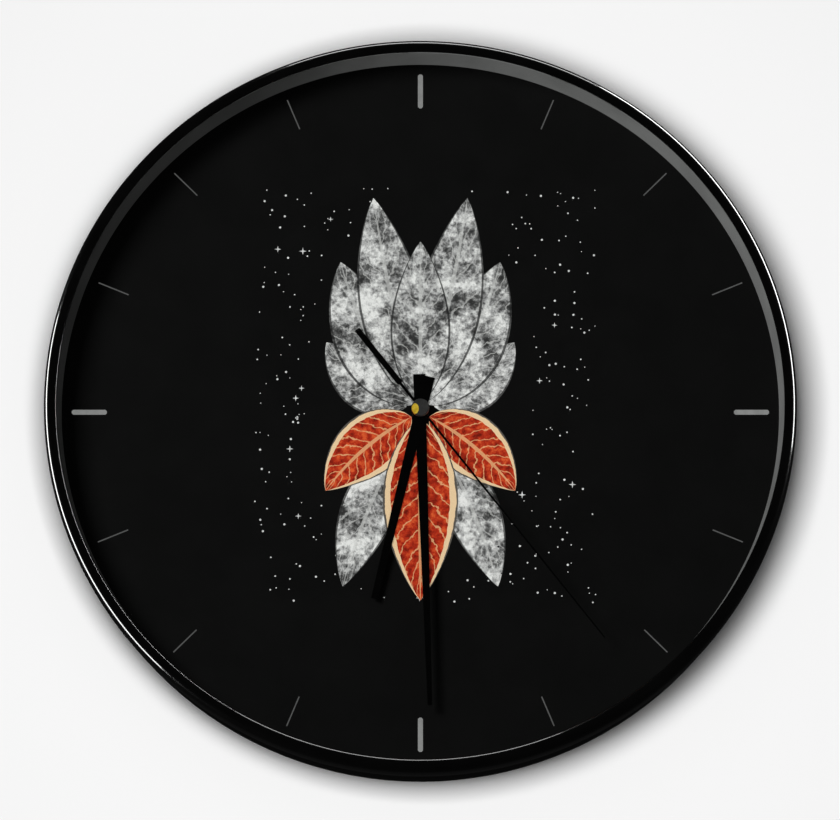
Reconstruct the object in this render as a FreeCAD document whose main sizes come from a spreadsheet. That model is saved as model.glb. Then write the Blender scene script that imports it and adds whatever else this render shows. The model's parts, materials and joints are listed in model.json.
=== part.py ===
import FreeCAD, Part
import math
import os
import re
import Sketcher

# A round wall clock: case ring, glass, dial, three hands and a quartz movement in a back pan.
# The hands turn about the Y axis. The wall is the plane y = 0 and the dial faces -Y, +Z is up.
# A "depth" is a distance from the wall towards the viewer, so the place of a depth d is y = -d.
# Every angle in the dial plane is counted from +X towards +Z.

LENGTHS = {
    # case ring
    "case_radius": 150,
    "case_depth": 40,
    "crest_curve": 2.4,
    "side_curve": 6.0,
    "lip_width": 5,
    "lip_edge_drop": 1.1,
    "lens_seat_drop": 2.0,
    "ring_length": 19.6,
    "side_tuck": 2.2,
    "ring_wall": 3.4,
    "catch_height": 0.8,
    "catch_length": 1.0,
    "catch_width": 14,
    # clearances
    "slip_gap": 0.3,
    "seat_gap": 0.2,
    "running_gap": 0.05,
    "press_gap": 0.01,
    # glass, spacer ring and dial
    "lens_thickness": 2.0,
    "spacer_height": 10.5,
    "spacer_front_wall": 1.1,
    "spacer_foot_wall": 2.3,
    "dial_thickness": 1.5,
    "dial_notch_width": 6,
    "dial_notch_depth": 2,
    "marker_inset": 5,
    "bar_length": 14,
    "bar_width": 2.0,
    "bar_corner": 0.6,
    "line_length": 13,
    "line_width": 0.5,
    "print_thickness": 0.1,
    # back pan
    "flange_thickness": 2.0,
    "flange_step": 1.0,
    "foot_width": 3.0,
    "skirt_wall": 2.2,
    "pan_recess": 4.0,
    "floor_thickness": 2.0,
    "rib_thickness": 1.6,
    "rib_sink": 0.5,
    "rib_start_gap": 3.7,
    "rib_shoulder": 7,
    "rib_low_depth": 13,
    "rib_ramp": 9,
    "rib_land": 11,
    "keyhole_inset": 37.3,
    "keyhole_radius": 4.5,
    "keyhole_slot_width": 4.5,
    "keyhole_slot_rise": 9,
    "keyhole_boss_rim": 4,
    "keyhole_boss_height": 1.0,
    "pocket_wall": 1.6,
    "pocket_ledge": 1.2,
    "pocket_ledge_width": 1.5,
    "window_round": 3.0,
    "clip_width": 9,
    "clip_slit": 1.2,
    "clip_slit_depth": 10,
    "clip_reach": 0.9,
    "clip_height": 1.2,
    # movement case
    "movement_width": 56,
    "movement_depth": 16,
    "movement_wall": 1.2,
    "tube_wall": 0.75,
    "tube_recess": 0.2,
    "bay_wall": 1.0,
    "post_width": 3.2,
    "post_inset": 3.3,
    "cover_thickness": 1.2,
    "plate_thickness": 0.8,
    "plate_inset": 1.8,
    # battery, size AA
    "battery_radius": 7.25,
    "battery_length": 49.2,
    "nub_radius": 2.75,
    "nub_length": 1.3,
    "battery_sink": 0.6,
    "contact_thickness": 0.4,
    "contact_width": 9,
    "leaf_run": 3.6,
    # motor and circuit
    "stator_thickness": 0.8,
    "stator_depth_gap": 3.1,
    "stator_arm": 3.0,
    "stator_reach": 15.2,
    "stator_pole_radius": 3.9,
    "stator_bore_radius": 2.8,
    "stator_bar_width": 3.7,
    "stator_post_width": 2.4,
    "core_width": 3.0,
    "core_thickness": 0.8,
    "coil_inset": 4.2,
    "coil_half_length": 11,
    "bobbin_half": 3.8,
    "bobbin_wall": 0.6,
    "bobbin_flange": 1.0,
    "winding_radius": 3.4,
    "magnet_radius": 2.4,
    "magnet_length": 4.0,
    "board_inset": 1.8,
    "board_width": 11,
    "board_height": 22,
    "board_drop": 9.8,
    "board_thickness": 1.0,
    "chip_half": 2.6,
    "chip_height": 1.1,
    "crystal_radius": 1.0,
    "crystal_length": 6,
    # wheel train
    "rotor_module": 0.4,
    "step_module": 0.42,
    "third_module": 0.34,
    "motion_module": 0.65,
    "wheel_thickness": 0.9,
    "level_pitch": 2.0,
    "level_gap": 0.65,
    "pinion_overrun": 0.35,
    "stud_radius": 0.5,
    "second_arbor_radius": 0.5,
    "minute_tube_radius": 1.65,
    "hour_pipe_radius": 2.45,
    "intermediate_arbor_radius": 0.9,
    "knob_radius": 5,
    "knob_thickness": 2.0,
    "knob_gap": 1.0,
    "knob_groove": 0.6,
    # hands
    "hour_hand_shortfall": 60,
    "hour_hand_tail": 14.5,
    "hour_tip_width": 2.6,
    "hour_tail_width": 4.95,
    "hour_hub_radius": 3.3,
    "minute_hand_shortfall": 18,
    "minute_hand_tail": 14.5,
    "minute_tip_width": 1.8,
    "minute_tail_width": 4.9,
    "minute_hub_radius": 2.6,
    "hand_thickness": 0.5,
    "second_hand_shortfall": 20,
    "second_tip_width": 0.45,
    "second_root_width": 0.9,
    "second_neck_length": 13,
    "second_neck_width": 1.1,
    "second_tail_length": 41,
    "second_tail_width": 2.3,
    "second_hub_radius": 2.2,
    "second_hand_thickness": 0.4,
    "cap_radius": 3.55,
    "cap_height": 1.8,
    "cap_edge": 0.6,
    "hour_hand_gap": 2.0,
    "hand_pitch": 2.4,
    "arbor_overrun": 0.3,
}

ANGLES = {
    "crest_turn": 60,
    "marker_angle": 22.5,
    "third_direction": 150,
    "intermediate_direction": 0,
    "step_direction": 60,
    "rotor_direction": 100,
    "hour_rest_angle": 193.4,
    "minute_rest_angle": 178.2,
    "second_rest_angle": 142,
}

COUNTS = {
    "catch_count": 4,
    "rib_count": 4,
    "knob_groove_count": 10,
    "rotor_leaves": 6,
    "step_teeth": 30,
    "step_leaves": 6,
    "second_teeth": 36,
    "second_leaves": 6,
    "third_teeth": 45,
    "third_leaves": 6,
    "minute_teeth": 48,
    "cannon_leaves": 8,
    "intermediate_teeth": 24,
    "intermediate_leaves": 8,
    "hour_teeth": 32,
}

# Shares of the module or of the tooth pitch that shape a cycloidal tooth.
WHEEL_ROOT_SHARE = 1.3
WHEEL_TOOTH_SHARE = 0.46
LEAF_TOP_SHARE = 0.6
LEAF_ROOT_SHARE = 1.35
LEAF_WIDTH_SHARE = 0.38
LEAF_STEPS = 2

# Flats along each round stretch of the case ring.
LIP_FACETS = 1
CREST_FACETS = 1
SHOULDER_FACETS = 1
SWEEP_FACETS = 1

# Places worked out from the sizes. A name that ends in depth is a distance from the wall.
PLACES = {
    "ring_back_depth": "case_depth - ring_length",
    "lens_front_depth": "case_depth - lens_seat_drop",
    "lens_back_depth": "lens_front_depth - lens_thickness",
    "dial_front_depth": "lens_back_depth - spacer_height",
    "dial_back_depth": "dial_front_depth - dial_thickness",
    "flange_back_depth": "dial_back_depth - flange_thickness",
    "catch_front_depth": "flange_back_depth - seat_gap",
    "ring_bore_radius": "case_radius - ring_wall",
    "insert_radius": "ring_bore_radius - slip_gap",
    "spacer_front_radius": "insert_radius - spacer_front_wall",
    "spacer_foot_radius": "insert_radius - spacer_foot_wall",
    "marker_radius": "spacer_foot_radius - marker_inset",
    # curves of the case ring
    "crest_radius": "case_radius - crest_curve * sin(crest_turn) - side_curve * (1 - sin(crest_turn))",
    "widest_depth": "case_depth - crest_curve * (1 - cos(crest_turn)) - side_curve * cos(crest_turn)",
    "lip_radius": "case_radius - lip_width",
    "lip_run": "crest_radius - lip_radius",
    "lip_curve": "(lip_run ^ 2 + lip_edge_drop ^ 2) / (2 * lip_edge_drop)",
    "side_run": "widest_depth - ring_back_depth",
    "side_sweep": "(side_tuck ^ 2 + side_run ^ 2) / (2 * side_tuck)",
    "lip_turn": "2 * atan(lip_edge_drop / lip_run) / 1 deg",
    "sweep_turn": "2 * atan(side_tuck / side_run) / 1 deg",
    # back pan
    "skirt_radius": "insert_radius - flange_step",
    "skirt_inner_radius": "skirt_radius - skirt_wall",
    "floor_front_depth": "pan_recess + floor_thickness",
    "pocket_half": "movement_width / 2 + slip_gap",
    "pocket_outer_half": "pocket_half + pocket_wall",
    "window_half": "movement_width / 2 - pocket_ledge_width",
    "rib_start_radius": "pocket_outer_half * sqrt(2) + rib_start_gap",
    "keyhole_height": "skirt_radius - keyhole_inset",
    # movement
    "movement_half": "movement_width / 2",
    "movement_back_depth": "pan_recess + pocket_ledge",
    "movement_front_depth": "movement_back_depth + movement_depth",
    "front_wall_depth": "movement_front_depth - movement_wall",
    "chamber_half": "movement_half - movement_wall",
    "tube_radius": "hour_pipe_radius + running_gap + tube_wall",
    "tube_front_depth": "dial_front_depth - tube_recess",
    "battery_height": "battery_radius + slip_gap - chamber_half",
    "battery_depth": "movement_back_depth + battery_sink + battery_radius",
    "bay_floor_depth": "battery_depth + battery_radius + running_gap",
    "bay_top": "battery_height + battery_radius + slip_gap",
    "chamber_bottom": "bay_top + bay_wall",
    "cover_front_depth": "movement_back_depth + cover_thickness",
    "post_x": "chamber_half - post_inset",
    "post_top": "chamber_half - post_inset",
    "post_bottom": "chamber_bottom + post_inset",
    # levels of the wheel train: the back face of each wheel
    "step_level_depth": "cover_front_depth + level_gap",
    "second_level_depth": "step_level_depth + level_pitch",
    "third_level_depth": "second_level_depth + level_pitch",
    "minute_level_depth": "third_level_depth + level_pitch",
    "plate_back_depth": "minute_level_depth + wheel_thickness + 1.5 * level_gap",
    "plate_front_depth": "plate_back_depth + plate_thickness",
    "intermediate_level_depth": "plate_front_depth + level_gap",
    "hour_level_depth": "intermediate_level_depth + level_pitch",
    "stator_front_depth": "plate_back_depth - stator_depth_gap",
    "stator_back_depth": "stator_front_depth - stator_thickness",
    "core_back_depth": "stator_back_depth - core_thickness",
    "magnet_back_depth": "stator_front_depth - (stator_thickness + magnet_length) / 2",
    "coil_depth": "stator_back_depth - core_thickness / 2",
    "coil_height": "chamber_half - coil_inset",
    "board_right": "chamber_half - board_inset",
    "board_left": "board_right - board_width",
    "board_top": "chamber_half - board_drop",
    "board_bottom": "board_top - board_height",
    # wheel centres
    "minute_module": "third_module * (second_leaves + third_teeth) / (third_leaves + minute_teeth)",
    "hour_module": "motion_module * (cannon_leaves + intermediate_teeth) / (intermediate_leaves + hour_teeth)",
    "third_distance": "third_module * (second_leaves + third_teeth) / 2",
    "third_x": "third_distance * cos(third_direction)",
    "third_z": "third_distance * sin(third_direction)",
    "intermediate_distance": "motion_module * (cannon_leaves + intermediate_teeth) / 2",
    "intermediate_x": "intermediate_distance * cos(intermediate_direction)",
    "intermediate_z": "intermediate_distance * sin(intermediate_direction)",
    "step_distance": "step_module * (step_leaves + second_teeth) / 2",
    "step_x": "step_distance * cos(step_direction)",
    "step_z": "step_distance * sin(step_direction)",
    "rotor_distance": "rotor_module * (rotor_leaves + step_teeth) / 2",
    "rotor_x": "step_x + rotor_distance * cos(rotor_direction)",
    "rotor_z": "step_z + rotor_distance * sin(rotor_direction)",
    # hands
    "hour_hand_length": "marker_radius - hour_hand_shortfall",
    "minute_hand_length": "marker_radius - minute_hand_shortfall",
    "second_hand_length": "marker_radius - second_hand_shortfall",
    "hour_hand_depth": "dial_front_depth + hour_hand_gap",
    "minute_hand_depth": "hour_hand_depth + hand_pitch",
    "second_hand_depth": "minute_hand_depth + hand_pitch",
    "hour_pipe_end_depth": "hour_hand_depth + hand_thickness + arbor_overrun",
    "minute_tube_end_depth": "minute_hand_depth + hand_thickness + arbor_overrun",
    "second_arbor_end_depth": "second_hand_depth + second_hand_thickness + 2 * arbor_overrun",
    "cap_front_depth": "second_hand_depth + second_hand_thickness + cap_height",
}

doc = FreeCAD.newDocument("WallClock")
sheet = doc.addObject("Spreadsheet::Sheet", "Sizes")
for row, (name, number) in enumerate({**LENGTHS, **ANGLES, **COUNTS}.items(), start=1):
    sheet.set("A%d" % row, name)
    sheet.set("B%d" % row, str(number))
    sheet.setAlias("B%d" % row, name)
doc.recompute()

SHEET_NAMES = set(LENGTHS) | set(ANGLES) | set(COUNTS)
WORD = re.compile(r"[a-z][a-z_0-9]*")


def formula(text):
    """Write a sum of named sizes and places as the sheet knows them."""
    def cell(match):
        word = match.group(0)
        if word in PLACES:
            return "(" + formula(PLACES[word]) + ")"
        if word in SHEET_NAMES:
            return "Sizes." + word
        return word
    return WORD.sub(cell, str(text))


def size(text):
    """The present value of a sum of named sizes and places."""
    return float(sheet.evalExpression(formula(text)))


def origin_feature(body, role):
    return [f for f in body.Origin.OriginFeatures if f.Role == role][0]


# Outlines

def circle(radius, x=0, y=0):
    return {"circle": (x, y, radius)}


def path(*corners):
    """A closed outline. A corner is (x, y) or (x, y, radius of the arc that leaves it).

    An arc with a positive radius turns left, one with a negative radius turns right.
    """
    return {"corners": [(c[0], c[1], c[2] if len(c) > 2 else None) for c in corners]}


def rectangle(left, bottom, right, top):
    return path((left, bottom), (right, bottom), (right, top), (left, top))


def square(middle_x, middle_z, width):
    half = f"({width}) / 2"
    return rectangle(f"{middle_x} - {half}", f"{middle_z} - {half}", f"{middle_x} + {half}", f"{middle_z} + {half}")


def rounded(left, bottom, right, top, radius):
    """A rectangle whose corners are quarter circles."""
    inner = {"l": f"{left} + {radius}", "r": f"{right} - {radius}",
             "b": f"{bottom} + {radius}", "t": f"{top} - {radius}"}
    return path(
        (inner["l"], bottom), (inner["r"], bottom, radius),
        (right, inner["b"]), (right, inner["t"], radius),
        (inner["r"], top), (inner["l"], top, radius),
        (left, inner["t"]), (left, inner["b"], radius))


def spoke(angle, inner, outer, width):
    """A thin rectangle that points away from the hand axis."""
    corners = []
    for along, across in ((inner, 1), (inner, -1), (outer, -1), (outer, 1)):
        half = f"{across} * ({width}) / 2"
        corners.append((f"({along}) * cos({angle}) - {half} * sin({angle})",
                        f"({along}) * sin({angle}) + {half} * cos({angle})"))
    return path(*corners)


def add_circle(sketch, loop):
    x, y, radius = loop["circle"]
    centre = FreeCAD.Vector(size(x), size(y), 0)
    index = sketch.addGeometry(Part.Circle(centre, FreeCAD.Vector(0, 0, 1), size(radius)), False)
    bind_constraint(sketch, Sketcher.Constraint("DistanceX", -1, 1, index, 3, centre.x), x)
    bind_constraint(sketch, Sketcher.Constraint("DistanceY", -1, 1, index, 3, centre.y), y)
    bind_constraint(sketch, Sketcher.Constraint("Radius", index, size(radius)), radius)


def add_arc(sketch, start, end, radius):
    """An arc of a signed radius between two points, and which of its ends comes first."""
    chord = end - start
    across = FreeCAD.Vector(-chord.y, chord.x, 0).normalize()
    rise = math.sqrt(radius ** 2 - (chord.Length / 2) ** 2)
    centre = start + chord * 0.5 + across * math.copysign(rise, radius)
    first, last = (start, end) if radius > 0 else (end, start)
    ring = Part.Circle(centre, FreeCAD.Vector(0, 0, 1), abs(radius))
    turn = [math.atan2(p.y - centre.y, p.x - centre.x) for p in (first, last)]
    index = sketch.addGeometry(Part.ArcOfCircle(ring, turn[0], turn[1]), False)
    return index, (1, 2) if radius > 0 else (2, 1)


def add_path(sketch, loop):
    corners = loop["corners"]
    points = [FreeCAD.Vector(size(x), size(y), 0) for x, y, radius in corners]
    edges = []
    for number, (x, y, radius) in enumerate(corners):
        start = points[number]
        end = points[(number + 1) % len(points)]
        if radius is None:
            edges.append((sketch.addGeometry(Part.LineSegment(start, end), False), (1, 2)))
        else:
            edges.append(add_arc(sketch, start, end, size(radius)))
    for number, (x, y, radius) in enumerate(corners):
        index, ends = edges[number]
        next_index, next_ends = edges[(number + 1) % len(edges)]
        point = points[number]
        sketch.addConstraint(Sketcher.Constraint("Coincident", index, ends[1], next_index, next_ends[0]))
        bind_constraint(sketch, Sketcher.Constraint("DistanceX", -1, 1, index, ends[0], point.x), x)
        bind_constraint(sketch, Sketcher.Constraint("DistanceY", -1, 1, index, ends[0], point.y), y)
        if radius is not None:
            bind_constraint(sketch, Sketcher.Constraint("Radius", index, abs(size(radius))), f"abs({radius})")


def bind_constraint(sketch, constraint, text):
    number = sketch.addConstraint(constraint)
    if WORD.search(str(text)):
        name = "size%d" % number
        sketch.renameConstraint(number, name)
        sketch.setExpression("Constraints." + name, formula(text))


def draw(body, name, plane, loops, depth=None):
    """A sketch on one of the body's own planes, moved forward to a depth if one is given."""
    sketch = body.newObject("Sketcher::SketchObject", name)
    sketch.AttachmentSupport = [(origin_feature(body, plane), "")]
    sketch.MapMode = "FlatFace"
    if depth is not None:
        sketch.setExpression("AttachmentOffset.Base.z", formula(depth))
    for loop in loops:
        if "circle" in loop:
            add_circle(sketch, loop)
        else:
            add_path(sketch, loop)
    sketch.recompute()
    return sketch


# Features

def bend(centre, depth, radius, start, end, steps):
    """Corners along a round stretch of a turned profile, its angles counted from the front outwards."""
    corners = []
    for step in range(steps + 1):
        angle = f"({start} + ({end} - ({start})) * {step} / {steps})"
        corners.append((f"{centre} + {radius} * sin{angle}", f"{depth} + {radius} * cos{angle}"))
    return corners


def new_body(name):
    body = doc.addObject("PartDesign::Body", name)
    body.Label = name
    return body


def raise_pad(body, name, loops, back, front):
    """Add a flat piece from one depth to a greater one."""
    sketch = draw(body, name + "_sketch", "XZ_Plane", loops, back)
    pad = body.newObject("PartDesign::Pad", name)
    pad.Profile = sketch
    pad.setExpression("Length", formula(f"{front} - ({back})"))
    return pad


def cut_pocket(body, name, loops, back, front):
    """Remove a flat piece from one depth to a greater one."""
    sketch = draw(body, name + "_sketch", "XZ_Plane", loops, back)
    doc.recompute()
    before = body.Shape.Volume
    pocket = body.newObject("PartDesign::Pocket", name)
    pocket.Profile = sketch
    pocket.Reversed = True
    pocket.setExpression("Length", formula(f"{front} - ({back})"))
    doc.recompute()
    if not body.Shape.Volume < before:
        raise RuntimeError(name + " cuts nothing")
    return pocket


def turn_profile(body, name, corners):
    """A turned piece. Its corners are (radius, depth) pairs, with arcs as in path."""
    outline = [(c[0], f"-({c[1]})") + tuple(c[2:]) for c in corners]
    sketch = draw(body, name + "_sketch", "XY_Plane", [path(*outline)])
    turned = body.newObject("PartDesign::Revolution", name)
    turned.Profile = sketch
    turned.ReferenceAxis = (sketch, ["V_Axis"])
    turned.Angle = 360
    return turned


def repeat_round(body, name, feature, count, angle=360):
    """Copies of a feature about the hand axis."""
    doc.recompute()
    pattern = body.newObject("PartDesign::PolarPattern", name)
    pattern.Originals = [feature]
    pattern.Axis = (origin_feature(body, "Y_Axis"), [""])
    pattern.Angle = angle
    pattern.setExpression("Occurrences", formula(count))
    body.Tip = pattern
    return pattern


def turn_about_axis(body, angle):
    """Set a piece at its rest angle, clockwise from twelve o'clock."""
    body.Placement = FreeCAD.Placement(FreeCAD.Vector(), FreeCAD.Rotation(FreeCAD.Vector(0, 1, 0), size(angle)))
    body.setExpression("Placement.Rotation.Angle", formula(angle))


# Case: ring, glass, spacer and dial

def frame_ring():
    """A turned moulding: its lip, crest and shoulder form a bead, and the side sweeps in towards the wall."""
    body = new_body("frame_ring")
    lip = bend("crest_radius", "case_depth - lip_curve", "lip_curve", "-(lip_turn)", "0", LIP_FACETS)
    crest = bend("crest_radius", "case_depth - crest_curve", "crest_curve", "0", "crest_turn", CREST_FACETS)
    shoulder = bend("case_radius - side_curve", "widest_depth", "side_curve", "crest_turn", "90", SHOULDER_FACETS)
    sweep = bend("case_radius - side_sweep", "widest_depth", "side_sweep", "90", "90 + sweep_turn", SWEEP_FACETS)
    turn_profile(body, "ring_section", [
        ("lip_radius", "lens_front_depth"), *lip, *crest[1:], *shoulder[1:], *sweep[1:],
        ("ring_bore_radius", "ring_back_depth"), ("ring_bore_radius", "lens_front_depth")])
    # Small beads on the bore hold the pan's flange from behind.
    half = "catch_width / 2"
    outer = "ring_bore_radius + catch_height / 2"
    catch = raise_pad(body, "catch", [path(
        ("ring_bore_radius - catch_height", f"-{half}"), (outer, f"-{half}"),
        (outer, half), ("ring_bore_radius - catch_height", half))],
        "catch_front_depth - catch_length", "catch_front_depth")
    repeat_round(body, "catches", catch, "catch_count")
    return body


def front_lens():
    body = new_body("front_lens")
    raise_pad(body, "lens_disc", [circle("insert_radius")], "lens_back_depth", "lens_front_depth")
    return body


def spacer_ring():
    body = new_body("spacer_ring")
    turn_profile(body, "spacer_section", [
        ("spacer_foot_radius", "dial_front_depth"),
        ("spacer_front_radius", "lens_back_depth"),
        ("insert_radius", "lens_back_depth"),
        ("insert_radius", "dial_front_depth")])
    return body


def dial_plate():
    body = new_body("dial_plate")
    raise_pad(body, "dial_disc", [circle("insert_radius"), circle("tube_radius + seat_gap")],
              "dial_back_depth", "dial_front_depth")
    # A notch at six o'clock fits over the pan's key and keeps twelve o'clock at the top.
    half = "dial_notch_width / 2"
    cut_pocket(body, "dial_notch", [rectangle(
        f"-{half}", "-insert_radius - dial_notch_depth", half, "dial_notch_depth - insert_radius")],
        "dial_back_depth", "dial_front_depth")
    return body


def hour_bars():
    """The four thick bars, with their corners cut."""
    body = new_body("hour_bars")
    half = "bar_width / 2"
    low = "marker_radius - bar_length"
    bar = raise_pad(body, "bar", [path(
        (f"bar_corner - {half}", low), (f"{half} - bar_corner", low), (half, f"{low} + bar_corner"),
        (half, "marker_radius - bar_corner"), (f"{half} - bar_corner", "marker_radius"),
        (f"bar_corner - {half}", "marker_radius"), (f"-{half}", "marker_radius - bar_corner"),
        (f"-{half}", f"{low} + bar_corner"))],
        "dial_front_depth", "dial_front_depth + print_thickness")
    repeat_round(body, "bars", bar, "4")
    return body


def hour_lines():
    """The twelve fine lines, three in each quarter between the bars."""
    body = new_body("hour_lines")
    inner = "marker_radius - line_length"
    lines = [spoke(f"{number} * marker_angle", inner, "marker_radius", "line_width") for number in (1, 2, 3)]
    quarter = raise_pad(body, "quarter_lines", lines, "dial_front_depth", "dial_front_depth + print_thickness")
    repeat_round(body, "lines", quarter, "4")
    return body


# Back pan

def back_pan():
    body = new_body("back_pan")
    turn_profile(body, "pan_section", [
        ("0", "pan_recess"),
        ("0", "floor_front_depth"),
        ("skirt_inner_radius", "floor_front_depth"),
        ("skirt_inner_radius", "dial_back_depth"),
        ("insert_radius", "dial_back_depth"),
        ("insert_radius", "flange_back_depth"),
        ("skirt_radius", "flange_back_depth"),
        ("skirt_radius", "0"),
        ("skirt_radius - foot_width", "0"),
        ("skirt_radius - foot_width", "pan_recess")])
    # Ribs carry the dial near the hub and near the rim, and are low between.
    rim = "skirt_inner_radius + rib_sink"
    floor = "floor_front_depth - rib_sink"
    sketch = draw(body, "rib_sketch", "XY_Plane", [path(*[(x, f"-({d})") for x, d in (
        ("rib_start_radius", floor),
        ("rib_start_radius", "dial_back_depth"),
        ("rib_start_radius + rib_shoulder", "dial_back_depth"),
        ("rib_start_radius + rib_shoulder + rib_ramp", "rib_low_depth"),
        (f"{rim} - rib_land - rib_ramp", "rib_low_depth"),
        (f"{rim} - rib_land", "dial_back_depth"),
        (rim, "dial_back_depth"),
        (rim, floor))])])
    rib = body.newObject("PartDesign::Pad", "rib")
    rib.Profile = sketch
    rib.Midplane = True
    rib.setExpression("Length", formula("rib_thickness"))
    repeat_round(body, "ribs", rib, "rib_count")
    # A key stands up through the dial's notch.
    half = "dial_notch_width / 2 - seat_gap"
    raise_pad(body, "dial_key", [rectangle(
        f"-({half})", "-(insert_radius)", half, "dial_notch_depth - seat_gap - insert_radius")],
        "dial_back_depth - rib_sink", "dial_front_depth - seat_gap")
    # Keyhole for the wall screw, in a thicker boss.
    boss = "keyhole_radius + keyhole_boss_rim"
    raise_pad(body, "keyhole_boss", [rectangle(
        f"-({boss})", f"keyhole_height - ({boss})", boss, f"keyhole_height + keyhole_slot_rise + {boss}")],
        "pan_recess", "floor_front_depth + keyhole_boss_height")
    cut_pocket(body, "keyhole", [circle("keyhole_radius", "0", "keyhole_height")],
               "pan_recess", "floor_front_depth + keyhole_boss_height")
    half = "keyhole_slot_width / 2"
    crown = "keyhole_height + keyhole_slot_rise"
    cut_pocket(body, "keyhole_slot", [path(
        (f"-{half}", "keyhole_height"), (half, "keyhole_height"), (half, crown, half),
        ("0", f"{crown} + {half}", half), (f"-{half}", crown))],
        "pan_recess", "floor_front_depth + keyhole_boss_height")
    # The pocket for the movement: a window, a ledge round it and walls with four sprung clips.
    cut_pocket(body, "window", [rounded(
        "-window_half", "-window_half", "window_half", "window_half", "window_round")],
        "pan_recess", "floor_front_depth")
    cut_pocket(body, "pocket_seat", [square("0", "0", "2 * pocket_half")],
               "movement_back_depth", "floor_front_depth")
    raise_pad(body, "pocket_walls", [
        square("0", "0", "2 * pocket_outer_half"), square("0", "0", "2 * pocket_half")],
        "floor_front_depth - rib_sink", "movement_front_depth + seat_gap")
    half = "clip_width / 2"
    clip = raise_pad(body, "clip", [rectangle(
        "pocket_half - clip_reach", f"-{half}", "pocket_outer_half", half)],
        "movement_front_depth + seat_gap", "movement_front_depth + seat_gap + clip_height")
    repeat_round(body, "clips", clip, "4")
    slits = [rectangle("pocket_half - seat_gap", low, "pocket_outer_half + seat_gap", high)
             for low, high in ((half, f"{half} + clip_slit"), (f"-{half} - clip_slit", f"-{half}"))]
    slit = cut_pocket(body, "clip_slits", slits,
                      "movement_front_depth + seat_gap - clip_slit_depth", "movement_front_depth + seat_gap")
    repeat_round(body, "all_clip_slits", slit, "4")
    return body


# Movement: case, cover, plate

POST_PLACES = (("post_x", "post_top"), ("-(post_x)", "post_top"),
               ("post_x", "post_bottom"), ("-(post_x)", "post_bottom"))


STUD_PLACES = (("third_x", "third_z"), ("step_x", "step_z"), ("rotor_x", "rotor_z"))


def posts():
    return [square(x, z, "post_width") for x, z in POST_PLACES]


def movement_case():
    body = new_body("movement_case")
    raise_pad(body, "case_block", [square("0", "0", "movement_width")],
              "movement_back_depth", "movement_front_depth")
    cut_pocket(body, "wheel_chamber", [rectangle(
        "-chamber_half", "chamber_bottom", "chamber_half", "chamber_half")],
        "movement_back_depth", "front_wall_depth")
    cut_pocket(body, "battery_bay", [rectangle(
        "-chamber_half", "-chamber_half", "chamber_half", "bay_top")],
        "movement_back_depth", "bay_floor_depth")
    raise_pad(body, "case_posts", posts(), "plate_front_depth", "front_wall_depth + seat_gap")
    raise_pad(body, "hand_tube", [circle("tube_radius")],
              "front_wall_depth", "tube_front_depth")
    cut_pocket(body, "hand_bore", [circle("hour_pipe_radius + running_gap")],
               "front_wall_depth", "tube_front_depth")
    # Finger notches beside the battery.
    notch = "battery_radius"
    cut_pocket(body, "finger_notch", [rectangle(
        f"-{notch}", "-(movement_half)", notch, "movement_wall - movement_half")],
        "movement_back_depth", "battery_depth")
    return body


def movement_cover():
    body = new_body("movement_cover")
    raise_pad(body, "cover_plate", [rectangle(
        "seat_gap - chamber_half", "chamber_bottom + seat_gap", "chamber_half - seat_gap",
        "chamber_half - seat_gap")],
        "movement_back_depth", "cover_front_depth")
    raise_pad(body, "cover_posts", posts(), "cover_front_depth - cover_thickness / 2", "plate_back_depth")
    # The third wheel, the step wheel and the rotor turn on studs that reach up to the plate.
    raise_pad(body, "cover_studs", [circle("stud_radius", x, z) for x, z in STUD_PLACES],
              "cover_front_depth - cover_thickness / 2", "plate_back_depth - running_gap")
    cut_pocket(body, "second_bearing", [circle("second_arbor_radius + running_gap")],
               "cover_front_depth - cover_thickness / 2", "cover_front_depth")
    cut_pocket(body, "knob_bearing", [circle(
        "intermediate_arbor_radius + running_gap", "intermediate_x", "intermediate_z")],
        "movement_back_depth", "cover_front_depth")
    return body


def middle_plate():
    body = new_body("middle_plate")
    edge = "chamber_half - plate_inset"
    raise_pad(body, "plate", [
        rectangle(f"-({edge})", "chamber_bottom + seat_gap", edge, edge),
        circle("minute_tube_radius + running_gap"),
        circle("intermediate_arbor_radius + running_gap", "intermediate_x", "intermediate_z")],
        "plate_back_depth", "plate_front_depth")
    arm = "stator_reach - stator_arm / 2"
    raise_pad(body, "stator_posts", [
        square(f"rotor_x + {side} * ({arm})", "rotor_z", "stator_post_width") for side in (1, -1)],
        "stator_front_depth", "plate_back_depth + plate_thickness / 2")
    return body


# Motor and circuit

def stator():
    """The lamination: a bar round the rotor and two arms that reach up to the coil's core."""
    body = new_body("stator")
    left = "rotor_x - stator_reach"
    right = "rotor_x + stator_reach"
    low = "rotor_z - stator_bar_width / 2"
    high = "rotor_z + stator_bar_width / 2"
    top = "coil_height + core_width / 2"
    raise_pad(body, "stator_yoke", [path(
        (left, low), (right, low), (right, top), (f"{right} - stator_arm", top),
        (f"{right} - stator_arm", high), (f"{left} + stator_arm", high),
        (f"{left} + stator_arm", top), (left, top))],
        "stator_back_depth", "stator_front_depth")
    raise_pad(body, "stator_pole", [circle("stator_pole_radius", "rotor_x", "rotor_z")],
              "stator_back_depth", "stator_front_depth")
    cut_pocket(body, "stator_bore", [circle("stator_bore_radius", "rotor_x", "rotor_z")],
               "stator_back_depth", "stator_front_depth")
    return body


def coil_core():
    body = new_body("coil_core")
    raise_pad(body, "core_bar", [rectangle(
        "rotor_x - stator_reach", "coil_height - core_width / 2",
        "rotor_x + stator_reach", "coil_height + core_width / 2")],
        "core_back_depth", "stator_back_depth")
    return body


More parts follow.
